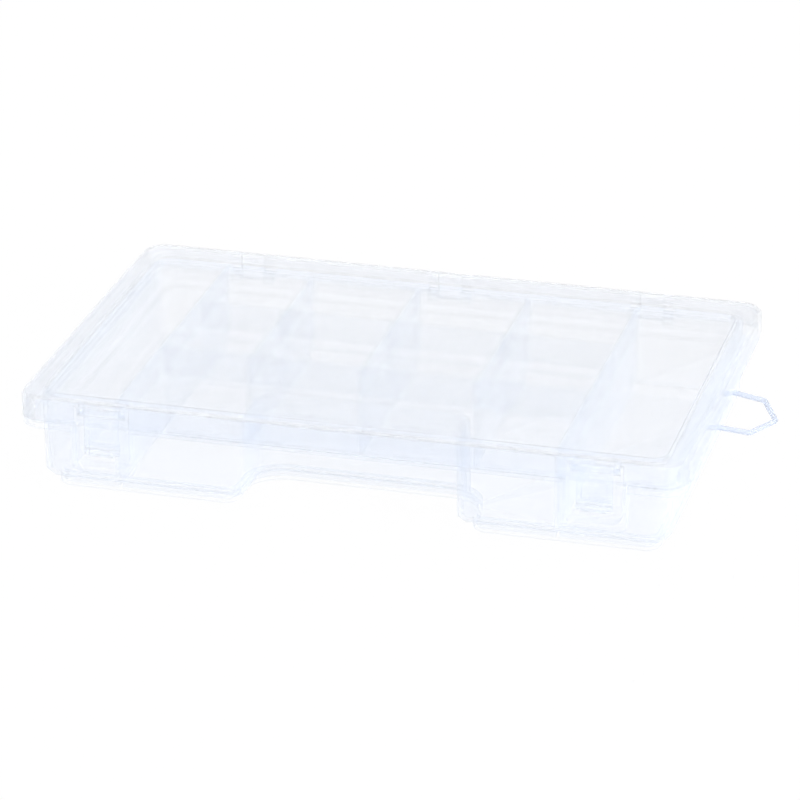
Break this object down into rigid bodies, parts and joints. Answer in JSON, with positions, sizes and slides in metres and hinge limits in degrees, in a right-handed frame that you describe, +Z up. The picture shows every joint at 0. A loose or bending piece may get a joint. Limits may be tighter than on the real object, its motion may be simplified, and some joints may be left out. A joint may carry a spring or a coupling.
{
  "type": "organizer box",
  "caption": "Flat translucent organizer box: compartment tray with hand notch, hinged recessed lid, front latch clips and a folding hang loop.",
  "frame": {"origin": "centre of the flat underside of the foot, midway between the lid's left and right sides", "axes": "+X to the box's right, where the hang loop is; +Y from the latched front to the hinged back; +Z up"},
  "size_m": [0.3826, 0.2272, 0.057],
  "materials": {
    "tray_plastic": "translucent natural polypropylene, satin gloss",
    "lid_plastic": "translucent natural polypropylene, satin gloss",
    "latch_plastic": "translucent natural polypropylene, satin gloss",
    "loop_plastic": "translucent natural polypropylene, satin gloss",
    "divider_plastic": "translucent natural polypropylene, thin sheet"
  },
  "bodies": {
    "tray": {"base": "tray_plastic", "divider_back_left": "divider_plastic", "divider_back_middle": "divider_plastic", "divider_back_right": "divider_plastic", "divider_front_left": "divider_plastic", "divider_front_middle": "divider_plastic", "divider_front_right": "divider_plastic"},
    "lid": {"lid": "lid_plastic"},
    "latch_left": {"latch_left": "latch_plastic"},
    "latch_right": {"latch_right": "latch_plastic"},
    "hang_loop": {"hang_loop": "loop_plastic"}
  },
  "joints": [
    {"name": "lid_hinge", "type": "hinge", "parent": "tray", "child": "lid", "pos_m": [0, 0.1092, 0.0445], "axis": [-1, 0, 0], "range_deg": [0, 180]},
    {"name": "latch_left_swing", "type": "hinge", "parent": "lid", "child": "latch_left", "pos_m": [-0.1313, -0.1106, 0.0502], "axis": [-1, 0, 0], "range_deg": [0, 100]},
    {"name": "latch_right_swing", "type": "hinge", "parent": "lid", "child": "latch_right", "pos_m": [0.1313, -0.1106, 0.0502], "axis": [-1, 0, 0], "range_deg": [0, 100]},
    {"name": "loop_fold", "type": "hinge", "parent": "tray", "child": "hang_loop", "pos_m": [0.1736, 0.005, 0.0389], "axis": [0, 1, 0], "range_deg": [-18, 83]}
  ]
}
